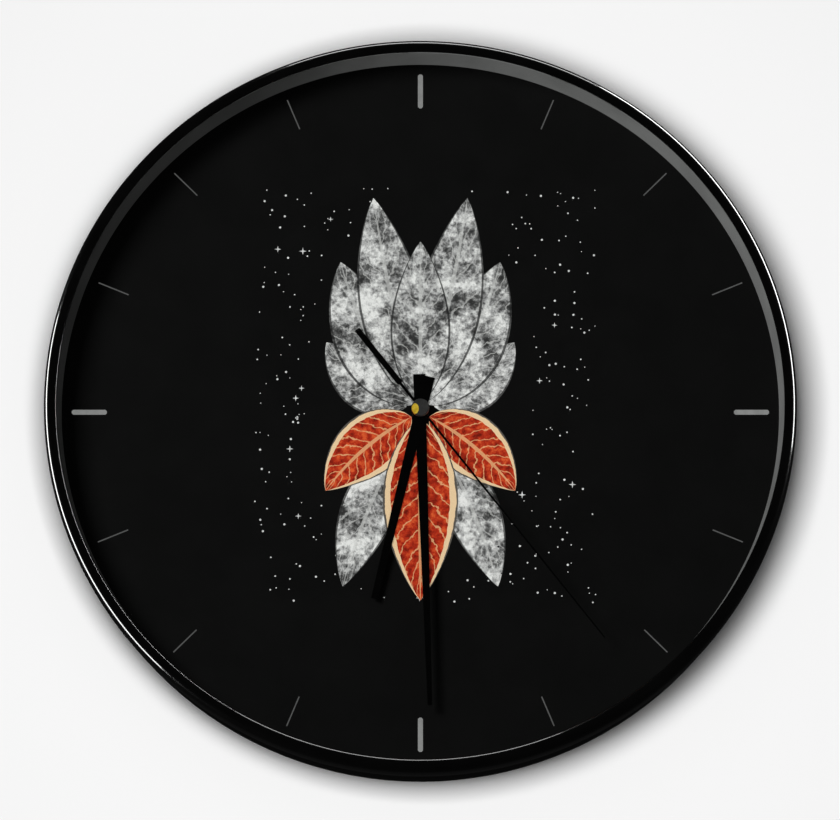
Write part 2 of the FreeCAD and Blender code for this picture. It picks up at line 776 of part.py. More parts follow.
def along_x(body, name, loops, left, right):
    """Add a piece that lies along X; its section is drawn on the YZ plane as (-depth, height)."""
    sketch = draw(body, name + "_sketch", "YZ_Plane", loops, left)
    pad = body.newObject("PartDesign::Pad", name)
    pad.Profile = sketch
    pad.setExpression("Length", formula(f"{right} - ({left})"))
    return pad


def coil_section(half_depth, half_height):
    """A rectangle about the coil's axis."""
    return rectangle(f"-(coil_depth) - ({half_depth})", f"coil_height - ({half_height})",
                     f"({half_depth}) - coil_depth", f"coil_height + {half_height}")


COIL_LEFT = "rotor_x - coil_half_length"
COIL_RIGHT = "rotor_x + coil_half_length"
CORE_HOLE = ("core_thickness / 2 + press_gap", "core_width / 2 + press_gap")
BOBBIN_TUBE = ("core_thickness / 2 + bobbin_wall", "core_width / 2 + bobbin_wall")


def coil_bobbin():
    body = new_body("coil_bobbin")
    hole = coil_section(*CORE_HOLE)
    flange = coil_section("bobbin_half", "bobbin_half")
    along_x(body, "left_flange", [flange, hole], COIL_LEFT, f"{COIL_LEFT} + bobbin_flange")
    along_x(body, "bobbin_tube", [coil_section(*BOBBIN_TUBE), hole],
            f"{COIL_LEFT} + bobbin_flange", f"{COIL_RIGHT} - bobbin_flange")
    along_x(body, "right_flange", [flange, hole], f"{COIL_RIGHT} - bobbin_flange", COIL_RIGHT)
    return body


def coil_winding():
    body = new_body("coil_winding")
    along_x(body, "winding", [
        circle("winding_radius", "-(coil_depth)", "coil_height"),
        coil_section(*[f"{half} + press_gap" for half in BOBBIN_TUBE])],
        f"{COIL_LEFT} + bobbin_flange", f"{COIL_RIGHT} - bobbin_flange")
    return body


def circuit_board():
    body = new_body("circuit_board")
    raise_pad(body, "board", [rectangle("board_left", "board_bottom", "board_right", "board_top")],
              "cover_front_depth", "cover_front_depth + board_thickness")
    return body


def chip():
    body = new_body("chip")
    middle_x = "(board_left + board_right) / 2"
    middle_z = "(board_bottom + board_top) / 2"
    raise_pad(body, "chip_block", [square(middle_x, middle_z, "2 * chip_half")],
              "cover_front_depth + board_thickness", "cover_front_depth + board_thickness + chip_height")
    return body


def crystal():
    """The quartz can lies on the board, above the chip."""
    body = new_body("crystal")
    left = "(board_left + board_right - crystal_length) / 2"
    depth = "cover_front_depth + board_thickness + crystal_radius + running_gap"
    along_x(body, "crystal_can", [circle("crystal_radius", f"-({depth})", "board_top - 2 * crystal_radius")],
            left, f"{left} + crystal_length")
    return body


# Battery and its contacts

def battery():
    body = new_body("battery")
    half = "battery_length / 2"
    sketch = draw(body, "battery_section", "XY_Plane", [path(
        (f"-{half}", "0"), (f"-{half}", "-battery_radius"),
        (half, "-battery_radius"), (half, "-nub_radius"),
        (f"{half} + nub_length", "-nub_radius"), (f"{half} + nub_length", "0"))])
    turned = body.newObject("PartDesign::Revolution", "battery_turn")
    turned.Profile = sketch
    turned.ReferenceAxis = (sketch, ["H_Axis"])
    turned.Angle = 360
    body.setExpression("Placement.Base.x", formula("-nub_length / 2"))
    body.setExpression("Placement.Base.y", formula("-battery_depth"))
    body.setExpression("Placement.Base.z", formula("battery_height"))
    return body


def contact(name, side, run):
    """A strip of spring metal on one end wall, bulged in the middle until it meets the battery.

    It is drawn from below and is as wide as named, at the battery's height.
    """
    body = new_body(name)
    crown = "(battery_length + nub_length) / 2 + press_gap"
    low = "battery_depth - contact_width / 2"
    high = "battery_depth + contact_width / 2"
    bulge = [("chamber_half - contact_thickness", low),
             ("chamber_half - contact_thickness", f"battery_depth - {run}"),
             (crown, f"battery_depth - {run} / 2"),
             (crown, f"battery_depth + {run} / 2"),
             ("chamber_half - contact_thickness", f"battery_depth + {run}"),
             ("chamber_half - contact_thickness", high)]
    back = [(f"{x} + contact_thickness", depth) for x, depth in reversed(bulge)]
    sketch = draw(body, "strip_sketch", "XY_Plane", [path(*[
        (f"{side} * ({x})", f"-({depth})") for x, depth in bulge + back])], "battery_height - contact_width / 2")
    pad = body.newObject("PartDesign::Pad", "strip")
    pad.Profile = sketch
    pad.setExpression("Length", formula("contact_width"))
    return body


def contact_positive():
    return contact("contact_positive", 1, "nub_radius")


def contact_negative():
    return contact("contact_negative", -1, "leaf_run")


# Wheel train with cycloidal teeth

def polar(radius, angle):
    return FreeCAD.Vector(radius * math.cos(angle), 0, radius * math.sin(angle))


def rolled_height(pitch_radius, rolling_radius, half):
    """How high the flanks of a tooth meet: each is the curve of a circle rolled on the pitch circle."""
    reach = pitch_radius + rolling_radius
    low = 0
    high = math.pi
    for halving in range(40):
        roll = (low + high) / 2
        turn = roll * pitch_radius / rolling_radius
        across = reach * math.sin(roll) - rolling_radius * math.sin(roll + turn)
        along = reach * math.cos(roll) - rolling_radius * math.cos(roll + turn)
        if turn < math.pi and math.atan2(across, along) < half:
            low = roll
        else:
            high = roll
    return math.hypot(across, along) - pitch_radius


def wheel_outline(teeth, module, mate_leaves, phase):
    """Wheel teeth: from the bottom of a gap to the pitch circle, then up to where the rolled curves meet."""
    pitch_radius = module * teeth / 2
    pitch = 2 * math.pi / teeth
    half = WHEEL_TOOTH_SHARE * pitch / 2
    root = pitch_radius - WHEEL_ROOT_SHARE * module
    tip = pitch_radius + rolled_height(pitch_radius, module * mate_leaves / 4, half)
    points = []
    for tooth in range(teeth):
        middle = phase + tooth * pitch
        points += [polar(root, middle - pitch / 2), polar(pitch_radius, middle - half), polar(tip, middle),
                   polar(pitch_radius, middle + half)]
    return points


def pinion_outline(leaves, module, phase):
    """Pinion leaves: radial flanks under a rounded top."""
    pitch_radius = module * leaves / 2
    pitch = 2 * math.pi / leaves
    half = LEAF_WIDTH_SHARE * pitch / 2
    root = pitch_radius - LEAF_ROOT_SHARE * module
    points = []
    for leaf in range(leaves):
        middle = phase + leaf * pitch
        points.append(polar(root, middle - half))
        for step in range(LEAF_STEPS + 1):
            turn = math.pi * step / LEAF_STEPS
            radius = pitch_radius + LEAF_TOP_SHARE * module * math.sin(turn)
            points.append(polar(radius, middle - half * math.cos(turn)))
        points.append(polar(root, middle + half))
    return points


def slab(points, back, front):
    """A flat piece with the given outline between two depths."""
    wire = Part.makePolygon([p - FreeCAD.Vector(0, size(back), 0) for p in points + points[:1]])
    return Part.Face(wire).extrude(FreeCAD.Vector(0, size(back) - size(front), 0))


def rod(radius, back, front):
    length = size(front) - size(back)
    return Part.makeCylinder(size(radius), length, FreeCAD.Vector(0, -size(back), 0), FreeCAD.Vector(0, -1, 0))


def train_piece(name, x, z, solids, bores=()):
    """One turning piece: its solids joined, its bores cut, and set on its own centre."""
    shape = solids[0].fuse(solids[1:]) if len(solids) > 1 else solids[0]
    for bore in bores:
        shape = shape.cut(bore)
    piece = doc.addObject("Part::Feature", name)
    piece.Label = name
    piece.Shape = shape.removeSplitter()
    piece.Placement = FreeCAD.Placement(FreeCAD.Vector(size(x), 0, size(z)), FreeCAD.Rotation())
    piece.setExpression("Placement.Base.x", formula(x))
    piece.setExpression("Placement.Base.z", formula(z))
    return piece


def meshing_phase(direction, teeth):
    """Where the first tooth of a wheel stands, to leave a gap for the pinion leaf that faces it.

    direction points from the pinion to the wheel, and the pinion has a leaf along it.
    """
    return direction + math.pi + math.pi / teeth


def radians(text):
    return math.radians(size(text))


STUD_BORE = "stud_radius + running_gap"
PIVOT_BACK = "cover_front_depth - cover_thickness / 2 + running_gap"


def count(name):
    return int(size(name))


def rotor():
    """The step motor's rotor: a pinion that reaches up to its magnet."""
    facing = radians("rotor_direction") + math.pi
    leaves = pinion_outline(count("rotor_leaves"), size("rotor_module"), facing)
    back = "step_level_depth - pinion_overrun / 2"
    return train_piece("rotor", "rotor_x", "rotor_z", [slab(leaves, back, "magnet_back_depth")],
                       [rod(STUD_BORE, back, "magnet_back_depth")])


def rotor_magnet():
    front = "magnet_back_depth + magnet_length"
    return train_piece("rotor_magnet", "rotor_x", "rotor_z", [
        rod("magnet_radius", "magnet_back_depth", front)], [rod(STUD_BORE, "magnet_back_depth", front)])


def step_wheel():
    facing = radians("rotor_direction") + math.pi
    teeth = count("step_teeth")
    wheel = wheel_outline(teeth, size("rotor_module"), count("rotor_leaves"), meshing_phase(facing, teeth))
    leaves = pinion_outline(count("step_leaves"), size("step_module"), radians("step_direction") + math.pi)
    front = "second_level_depth + wheel_thickness + pinion_overrun"
    return train_piece("step_wheel", "step_x", "step_z", [
        slab(wheel, "step_level_depth", "step_level_depth + wheel_thickness"),
        slab(leaves, "step_level_depth + wheel_thickness", front)],
        [rod(STUD_BORE, "step_level_depth", front)])


def seconds_wheel():
    """The long arbor that carries the second hand, with its wheel and pinion."""
    facing = radians("step_direction") + math.pi
    teeth = count("second_teeth")
    wheel = wheel_outline(teeth, size("step_module"), count("step_leaves"), meshing_phase(facing, teeth))
    leaves = pinion_outline(count("second_leaves"), size("third_module"), radians("third_direction"))
    return train_piece("seconds_wheel", "0", "0", [
        slab(wheel, "second_level_depth", "second_level_depth + wheel_thickness"),
        slab(leaves, "second_level_depth + wheel_thickness",
             "third_level_depth + wheel_thickness + pinion_overrun"),
        rod("second_arbor_radius", PIVOT_BACK, "second_arbor_end_depth")])


def third_wheel():
    facing = radians("third_direction")
    teeth = count("third_teeth")
    wheel = wheel_outline(teeth, size("third_module"), count("second_leaves"), meshing_phase(facing, teeth))
    leaves = pinion_outline(count("third_leaves"), size("minute_module"), facing + math.pi)
    front = "minute_level_depth + wheel_thickness + pinion_overrun"
    return train_piece("third_wheel", "third_x", "third_z", [
        slab(wheel, "third_level_depth", "third_level_depth + wheel_thickness"),
        slab(leaves, "third_level_depth + wheel_thickness", front)],
        [rod(STUD_BORE, "third_level_depth", front)])


def minute_wheel():
    """The wheel that sits with friction on the cannon pinion."""
    facing = radians("third_direction") + math.pi
    teeth = count("minute_teeth")
    wheel = wheel_outline(teeth, size("minute_module"), count("third_leaves"), meshing_phase(facing, teeth))
    return train_piece("minute_wheel", "0", "0", [
        slab(wheel, "minute_level_depth", "minute_level_depth + wheel_thickness")],
        [rod("minute_tube_radius + press_gap", "minute_level_depth", "minute_level_depth + wheel_thickness")])


def cannon_pinion():
    """The tube that carries the minute hand, with the pinion that drives the intermediate wheel."""
    leaves = pinion_outline(count("cannon_leaves"), size("motion_module"), radians("intermediate_direction"))
    back = "minute_level_depth - pinion_overrun"
    return train_piece("cannon_pinion", "0", "0", [
        rod("minute_tube_radius", back, "minute_tube_end_depth"),
        slab(leaves, "intermediate_level_depth - pinion_overrun",
             "intermediate_level_depth + wheel_thickness + pinion_overrun")],
        [rod("second_arbor_radius + running_gap", back, "minute_tube_end_depth")])


def intermediate_wheel():
    """The motion work's wheel and pinion, on the arbor that the setting knob turns."""
    facing = radians("intermediate_direction")
    teeth = count("intermediate_teeth")
    wheel = wheel_outline(teeth, size("motion_module"), count("cannon_leaves"), meshing_phase(facing, teeth))
    leaves = pinion_outline(count("intermediate_leaves"), size("hour_module"), facing + math.pi)
    return train_piece("intermediate_wheel", "intermediate_x", "intermediate_z", [
        slab(wheel, "intermediate_level_depth", "intermediate_level_depth + wheel_thickness"),
        slab(leaves, "intermediate_level_depth + wheel_thickness",
             "hour_level_depth + wheel_thickness + pinion_overrun"),
        rod("intermediate_arbor_radius", "movement_back_depth - knob_gap - knob_thickness / 2",
            "intermediate_level_depth")])


def hour_wheel():
    """The slowest wheel, on the pipe that carries the hour hand."""
    facing = radians("intermediate_direction") + math.pi
    teeth = count("hour_teeth")
    wheel = wheel_outline(teeth, size("hour_module"), count("intermediate_leaves"), meshing_phase(facing, teeth))
    return train_piece("hour_wheel", "0", "0", [
        slab(wheel, "hour_level_depth", "hour_level_depth + wheel_thickness"),
        rod("hour_pipe_radius", "hour_level_depth", "hour_pipe_end_depth")],
        [rod("minute_tube_radius + running_gap", "hour_level_depth", "hour_pipe_end_depth")])


def set_knob():
    """The knob at the back that sets the hands, with grooves round its edge for the fingers."""
    body = new_body("set_knob")
    front = "movement_back_depth - knob_gap"
    back = f"{front} - knob_thickness"
    raise_pad(body, "knob_disc", [circle("knob_radius")], back, front)
    groove = cut_pocket(body, "knob_groove_cut", [path(
        ("knob_radius - knob_groove", "0"), ("knob_radius + knob_groove", "-2 * knob_groove"),
        ("knob_radius + knob_groove", "2 * knob_groove"))], back, front)
    repeat_round(body, "knob_grooves", groove, "knob_groove_count")
    cut_pocket(body, "knob_bore", [circle("intermediate_arbor_radius + press_gap")],
               f"{front} - knob_thickness / 2", front)
    body.setExpression("Placement.Base.x", formula("intermediate_x"))
    body.setExpression("Placement.Base.z", formula("intermediate_z"))
    return body


# Hands

def bar_hand(name, back, thickness, outlines, hub, bore, rest):
    """A stamped hand: its blade and hub are one sheet, with a bore pressed on its arbor."""
    body = new_body(name)
    front = f"{back} + {thickness}"
    raise_pad(body, "blade", outlines, back, front)
    raise_pad(body, "hub", [circle(hub)], back, front)
    cut_pocket(body, "bore", [circle(f"{bore} + press_gap")], back, front)
    turn_about_axis(body, rest)
    return body


def tapered(length, tip_width, tail, tail_width):
    return path((f"-{tail_width} / 2", f"-{tail}"), (f"{tail_width} / 2", f"-{tail}"),
                (f"{tip_width} / 2", length), (f"-{tip_width} / 2", length))


def hour_hand():
    return bar_hand("hour_hand", "hour_hand_depth", "hand_thickness",
                    [tapered("hour_hand_length", "hour_tip_width", "hour_hand_tail", "hour_tail_width")],
                    "hour_hub_radius", "hour_pipe_radius", "hour_rest_angle")


def minute_hand():
    return bar_hand("minute_hand", "minute_hand_depth", "hand_thickness",
                    [tapered("minute_hand_length", "minute_tip_width", "minute_hand_tail", "minute_tail_width")],
                    "minute_hub_radius", "minute_tube_radius", "minute_rest_angle")


def second_hand():
    """A needle on one side of the arbor, a neck and a counterweight bar on the other."""
    blade = path(
        ("second_tip_width / 2", "second_hand_length"),
        ("-second_tip_width / 2", "second_hand_length"),
        ("-second_root_width / 2", "0"),
        ("-second_neck_width / 2", "-second_neck_length"),
        ("-second_tail_width / 2", "-second_neck_length"),
        ("-second_tail_width / 2", "-second_tail_length"),
        ("second_tail_width / 2", "-second_tail_length"),
        ("second_tail_width / 2", "-second_neck_length"),
        ("second_neck_width / 2", "-second_neck_length"),
        ("second_root_width / 2", "0"))
    return bar_hand("second_hand", "second_hand_depth", "second_hand_thickness", [blade],
                    "second_hub_radius", "second_arbor_radius", "second_rest_angle")


def second_hand_cap():
    """The round cap in front of the second hand, hollow over the arbor's end."""
    body = new_body("second_hand_cap")
    back = "second_hand_depth + second_hand_thickness"
    turn_profile(body, "cap_section", [
        ("0", f"{back} + cap_height / 2"),
        ("0", "cap_front_depth"),
        ("cap_radius - cap_edge", "cap_front_depth"),
        ("cap_radius", "cap_front_depth - cap_edge"),
        ("cap_radius", back),
        ("second_arbor_radius + press_gap", back),
        ("second_arbor_radius + press_gap", f"{back} + cap_height / 2")])
    return body


PIECES = (
    frame_ring, front_lens, spacer_ring, dial_plate, hour_bars, hour_lines, back_pan,
    movement_case, movement_cover, middle_plate, stator, coil_core, coil_bobbin, coil_winding,
    circuit_board, chip, crystal, battery, contact_positive, contact_negative,
    rotor, rotor_magnet, step_wheel, seconds_wheel, third_wheel, minute_wheel, cannon_pinion,
    intermediate_wheel, hour_wheel, set_knob,
    hour_hand, minute_hand, second_hand, second_hand_cap)

pieces = [make() for make in PIECES]
doc.recompute()

for thing in doc.Objects:
    if "Invalid" in thing.State or "Error" in thing.State:
        raise RuntimeError(thing.Label + " did not compute")
for piece in pieces:
    if piece.Shape.isNull() or not piece.Shape.isValid():
        raise RuntimeError(piece.Label + " has no valid shape")

os.makedirs("parts", exist_ok=True)
for piece in pieces:
    piece.Shape.exportStep(os.path.join("parts", piece.Label + ".step"))
    print(piece.Label, len(piece.Shape.Solids), round(piece.Shape.Volume))
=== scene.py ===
import json
import math
import random

import bpy
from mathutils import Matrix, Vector


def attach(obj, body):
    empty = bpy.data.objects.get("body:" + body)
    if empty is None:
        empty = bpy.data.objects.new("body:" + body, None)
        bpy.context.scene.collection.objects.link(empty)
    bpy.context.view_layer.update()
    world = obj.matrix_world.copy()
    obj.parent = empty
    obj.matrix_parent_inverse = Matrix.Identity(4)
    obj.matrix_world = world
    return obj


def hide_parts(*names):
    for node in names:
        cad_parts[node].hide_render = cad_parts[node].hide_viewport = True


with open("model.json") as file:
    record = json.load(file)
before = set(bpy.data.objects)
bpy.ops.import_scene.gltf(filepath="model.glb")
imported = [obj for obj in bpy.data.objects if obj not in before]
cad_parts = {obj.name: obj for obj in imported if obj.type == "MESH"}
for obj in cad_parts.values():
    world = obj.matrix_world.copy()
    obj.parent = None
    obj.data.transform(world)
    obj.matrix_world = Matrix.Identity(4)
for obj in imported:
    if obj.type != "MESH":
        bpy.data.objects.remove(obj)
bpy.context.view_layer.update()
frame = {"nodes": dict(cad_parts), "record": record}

# A round wall clock, in metres. The hands turn about the Y axis, the wall is y = 0 and the dial faces -Y.
# A depth is a distance from the wall towards the viewer.
MM = 0.001

# Case ring, as the smooth form of the turned moulding.
CASE_RADIUS = 150 * MM
CASE_DEPTH = 40 * MM
LIP_WIDTH = 5 * MM
LIP_DROP = 1.1 * MM
LENS_SEAT_DROP = 2 * MM
CREST_CURVE = 2.4 * MM
CREST_TURN = math.radians(60)
SIDE_CURVE = 6 * MM
SIDE_TUCK = 2.2 * MM
RING_LENGTH = 19.6 * MM
RING_WALL = 3.4 * MM
RING_SEGMENTS = 384
LIP_STEPS = 10
CREST_STEPS = 12
SIDE_STEPS = 8
SWEEP_STEPS = 10

LIP_RADIUS = CASE_RADIUS - LIP_WIDTH
CREST_RADIUS = CASE_RADIUS - CREST_CURVE * math.sin(CREST_TURN) - SIDE_CURVE * (1 - math.sin(CREST_TURN))
WIDEST_DEPTH = CASE_DEPTH - CREST_CURVE * (1 - math.cos(CREST_TURN)) - SIDE_CURVE * math.cos(CREST_TURN)
RING_BACK_DEPTH = CASE_DEPTH - RING_LENGTH
RING_BORE_RADIUS = CASE_RADIUS - RING_WALL
LENS_FRONT_DEPTH = CASE_DEPTH - LENS_SEAT_DROP

# Inner wall between the glass and the dial, which leans in towards its foot.
SLIP_GAP = 0.3 * MM
LENS_THICKNESS = 2 * MM
WALL_HEIGHT = 10.5 * MM
WALL_FRONT_THICKNESS = 1.1 * MM
WALL_FOOT_THICKNESS = 3.3 * MM

WALL_FRONT_DEPTH = LENS_FRONT_DEPTH - LENS_THICKNESS
WALL_OUTER_RADIUS = RING_BORE_RADIUS - SLIP_GAP
WALL_FRONT_RADIUS = WALL_OUTER_RADIUS - WALL_FRONT_THICKNESS
WALL_FOOT_RADIUS = WALL_OUTER_RADIUS - WALL_FOOT_THICKNESS
DIAL_DEPTH = WALL_FRONT_DEPTH - WALL_HEIGHT

# Cap on the second hand; its back lies on the hand's front face.
CAP_BACK_DEPTH = 32.7 * MM
CAP_HEIGHT = 1.8 * MM
CAP_RADIUS = 3.55 * MM
CAP_EDGE = 0.5 * MM
CAP_BORE = 0.51 * MM
CAP_STEPS = 8
SMALL_SEGMENTS = 96

# Battery: a can in a printed sleeve, with its nub towards +X.
CELL_RADIUS = 7.25 * MM
CELL_HALF = 24.6 * MM
CELL_ROUND = 0.7 * MM
CELL_STEPS = 6
NUB_RADIUS = 2.75 * MM
NUB_LENGTH = 1.3 * MM
NUB_ROUND = 0.4 * MM
NUB_STEPS = 4
CELL_DEPTH = 13.05 * MM
CELL_DROP = 19.25 * MM
CELL_CENTRE = Vector((-NUB_LENGTH / 2, -CELL_DEPTH, -CELL_DROP))

SMOOTH_ANGLE = math.radians(30)

# Print on the dial: sheets of ink in levels, each a thickness above the one below.
INK_THICKNESS = 0.03 * MM
INK_BACK_SHARE = 0.2
LEAF_STEPS = 28
LEAF_LANES = 10
LEAF_TIP = 0.12 * MM
LEAF_BELLY_POWER = 0.85
LEAF_FULLNESS_POWER = 0.8

# The spray: name, material, direction in degrees from +X, start, length and width in millimetres,
# curl in degrees, level.
SPRAY = (
    ("plume_left_low", "leaf_grey", 158, 6, 42, 22, -34, 1),
    ("plume_right_low", "leaf_grey", 22, 6, 42, 22, 34, 1),
    ("plume_left", "leaf_grey", 130, 4, 66, 29, -26, 2),
    ("plume_right", "leaf_grey", 50, 4, 66, 29, 26, 2),
    ("plume_left_top", "leaf_grey", 106, 4, 86, 27, -8, 3),
    ("plume_right_top", "leaf_grey", 74, 4, 86, 27, 8, 3),
    ("plume_middle", "leaf_grey", 90, 4, 66, 24, 0, 4),
    ("frond_left_low", "leaf_grey", 240, 16, 62, 22, 16, 1),
    ("frond_right_low", "leaf_grey", 300, 16, 62, 22, -16, 1),
    ("petal_left", "leaf_red", 208, 4, 46, 25, 26, 2),
    ("petal_right", "leaf_red", 332, 4, 46, 25, -26, 2),
    ("petal_middle", "leaf_red", 270, 3, 74, 30, 0, 3),
)
SPRAY_HALF_WIDTH = 44 * MM
SPRAY_HALF_HEIGHT = 84 * MM
SPRAY_MIDDLE_HEIGHT = 8 * MM

# Specks and sparkles: spans and reaches in millimetres.
DOT_SEED = 11
DOT_SPAN_X = (-66, 70)
DOT_SPAN_Z = (-78, 92)
SPECK_COUNT = 240
SPECK_REACHES = (0.22, 0.28, 0.34, 0.46)
SPECK_WAIST_SHARE = 0.93
SPARKLE_COUNT = 12
SPARKLE_SPAN = (0.9, 1.7)
SPARKLE_WAIST_SHARE = 0.26
STAR_POINTS = 4

# Stage and camera. The photograph's frame is 840 pixels wide.
WALL_REACH = 4.0
WALL_GAP = 0.6 * MM
HUB = (0, -0.03, 0)
CAMERA_DISTANCE = 12.0
CAMERA_RISE = math.radians(-13.7)
CAMERA_LENS = 1290
CAMERA_SENSOR = 36
CAMERA_NEAR = 0.01
FRAME_PIXELS = 840
SHIFT_RIGHT_PIXELS = -0.4
SHIFT_UP_PIXELS = 2.3


# Meshes

def make_object(name, points, faces, smooth_angle=None):
    mesh = bpy.data.meshes.new(name)
    mesh.from_pydata([tuple(p) for p in points], [], faces)
    mesh.validate()
    mesh.update()
    if smooth_angle is not None:
        mesh.shade_smooth()
        mesh.set_sharp_from_angle(angle=smooth_angle)
    thing = bpy.data.objects.new(name, mesh)
    bpy.context.scene.collection.objects.link(thing)
    return thing


def arc(centre, radius, start, end, steps):
    """Points (radius, depth) along a round stretch; angles count from the front outwards."""
    points = []
    for step in range(steps + 1):
        angle = start + (end - start) * step / steps
        points.append((centre[0] + radius * math.sin(angle), centre[1] + radius * math.cos(angle)))
    return points


def turn(name, outline, segments, place):
    """A closed turned piece. place(radius, depth, angle) gives the point of an outline corner at an angle."""
    points = []
    rows = []
    for radius, depth in outline:
        if radius == 0:
            rows.append([len(points)] * segments)
            points.append(place(0, depth, 0))
        else:
            rows.append(list(range(len(points), len(points) + segments)))
            points += [place(radius, depth, 2 * math.pi * number / segments) for number in range(segments)]
    faces = []
    for row, next_row in zip(rows, rows[1:] + rows[:1]):
        for number in range(segments):
            follow = (number + 1) % segments
            corners = [row[number], row[follow], next_row[follow], next_row[number]]
            unique = list(dict.fromkeys(corners))
            if len(unique) > 2:
                faces.append(unique)
    return make_object(name, points, faces, SMOOTH_ANGLE)


def about_hands(radius, depth, angle):
    return Vector((radius * math.cos(angle), -depth, radius * math.sin(angle)))


def about_cell(radius, along, angle):
    return CELL_CENTRE + Vector((along, radius * math.cos(angle), radius * math.sin(angle)))


def case_ring():
    lip_run = CREST_RADIUS - LIP_RADIUS
    lip_curve = (lip_run ** 2 + LIP_DROP ** 2) / (2 * LIP_DROP)
    lip_turn = 2 * math.atan(LIP_DROP / lip_run)
    sweep_run = WIDEST_DEPTH - RING_BACK_DEPTH
    sweep_curve = (SIDE_TUCK ** 2 + sweep_run ** 2) / (2 * SIDE_TUCK)
    sweep_turn = 2 * math.atan(SIDE_TUCK / sweep_run)
    outline = [(LIP_RADIUS, LENS_FRONT_DEPTH)]
    outline += arc((CREST_RADIUS, CASE_DEPTH - lip_curve), lip_curve, -lip_turn, 0, LIP_STEPS)
    outline += arc((CREST_RADIUS, CASE_DEPTH - CREST_CURVE), CREST_CURVE, 0, CREST_TURN, CREST_STEPS)[1:]
    outline += arc((CASE_RADIUS - SIDE_CURVE, WIDEST_DEPTH), SIDE_CURVE,
                   CREST_TURN, math.pi / 2, SIDE_STEPS)[1:]
    outline += arc((CASE_RADIUS - sweep_curve, WIDEST_DEPTH), sweep_curve,
                   math.pi / 2, math.pi / 2 + sweep_turn, SWEEP_STEPS)[1:]
    outline += [(RING_BORE_RADIUS, RING_BACK_DEPTH), (RING_BORE_RADIUS, LENS_FRONT_DEPTH)]
    return turn("case_ring", outline, RING_SEGMENTS, about_hands)


def inner_wall():
    outline = [(WALL_FOOT_RADIUS, DIAL_DEPTH), (WALL_FRONT_RADIUS, WALL_FRONT_DEPTH),
               (WALL_OUTER_RADIUS, WALL_FRONT_DEPTH), (WALL_OUTER_RADIUS, DIAL_DEPTH)]
    return turn("inner_wall", outline, RING_SEGMENTS, about_hands)


def hub_cap():
    front = CAP_BACK_DEPTH + CAP_HEIGHT
    middle = CAP_BACK_DEPTH + CAP_HEIGHT / 2
    outline = [(0, middle), (0, front)]
    outline += arc((CAP_RADIUS - CAP_EDGE, front - CAP_EDGE), CAP_EDGE, 0, math.pi / 2, CAP_STEPS)
    outline += [(CAP_RADIUS, CAP_BACK_DEPTH), (CAP_BORE, CAP_BACK_DEPTH), (CAP_BORE, middle)]
    return turn("hub_cap", outline, SMALL_SEGMENTS, about_hands)


def cell():
    rim = arc((CELL_RADIUS - CELL_ROUND, CELL_HALF - CELL_ROUND), CELL_ROUND, 0, math.pi / 2, CELL_STEPS)
    nub_rim = arc((NUB_RADIUS - NUB_ROUND, CELL_HALF + NUB_LENGTH - NUB_ROUND), NUB_ROUND,
                  0, math.pi / 2, NUB_STEPS)
    outline = [(0, -CELL_HALF)]
    outline += [(radius, -along) for radius, along in rim]
    outline += reversed(rim)
    outline += [(NUB_RADIUS, CELL_HALF)]
    outline += reversed(nub_rim)
    outline += [(0, CELL_HALF + NUB_LENGTH)]
    return turn("cell", outline, SMALL_SEGMENTS, about_cell)


def ink_plate(name, columns, level):
    """A thin closed sheet of ink from columns of (x, z) points, with coordinates along and across it."""
    front = DIAL_DEPTH + (level + 1) * INK_THICKNESS
    back = DIAL_DEPTH + INK_BACK_SHARE * INK_THICKNESS
    height = len(columns[0])
    points = [Vector((x, -front, z)) for column in columns for x, z in column]
    points += [Vector((x, -back, z)) for column in columns for x, z in column]
    behind = len(columns) * height
    faces = []
    for i in range(len(columns) - 1):
        for j in range(height - 1):
            a = i * height + j
            faces.append((a, a + height, a + height + 1, a + 1))
            faces.append((a + behind, a + 1 + behind, a + height + 1 + behind, a + height + behind))
    rim = [j for j in range(height)]
    rim += [i * height + height - 1 for i in range(1, len(columns))]
    rim += [(len(columns) - 1) * height + j for j in reversed(range(height - 1))]
    rim += [i * height for i in reversed(range(1, len(columns) - 1))]
    for a, b in zip(rim, rim[1:] + rim[:1]):
        faces.append((a, b, b + behind, a + behind))
    thing = make_object(name, points, faces)
    place = {}
    for i in range(len(columns)):
        for j in range(height):
            place[i * height + j] = (i / (len(columns) - 1), j / (height - 1))
    layer = thing.data.uv_layers.new(name="leaf")
    for loop in thing.data.loops:
        layer.data[loop.index].uv = place[loop.vertex_index % behind]
    return thing


def leaf_half_width(share, width):
    """Half the width of a leaf at a share of its length: pointed at both ends, fullest before the middle."""
    if not 0 < share < 1:
        return LEAF_TIP
    swell = math.sin(math.pi * share ** LEAF_BELLY_POWER) ** LEAF_FULLNESS_POWER
    return max(width / 2 * swell, LEAF_TIP)


def leaf(name, direction, start, length, width, curl, level):
    """A pointed leaf that grows from near the hub towards a direction, in degrees from +X, and curls aside."""
    lanes = [2 * lane / LEAF_LANES - 1 for lane in range(LEAF_LANES + 1)]
    columns = []
    heading = math.radians(direction)
    x = start * math.cos(heading)
    z = start * math.sin(heading)
    step = length / LEAF_STEPS
    for number in range(LEAF_STEPS + 1):
        half = leaf_half_width(number / LEAF_STEPS, width)
        side = heading + math.pi / 2
        columns.append([(x + half * across * math.cos(side), z + half * across * math.sin(side))
                        for across in lanes])
        heading += math.radians(curl) / LEAF_STEPS
        x += step * math.cos(heading)
        z += step * math.sin(heading)
    return ink_plate(name, columns, level)


def star_outline(x, z, reach, waist):
    corners = []
    for number in range(2 * STAR_POINTS):
        radius = reach if number % 2 == 0 else reach * waist
        angle = math.pi * number / STAR_POINTS + math.pi / 2
        corners.append((x + radius * math.cos(angle), z + radius * math.sin(angle)))
    return corners


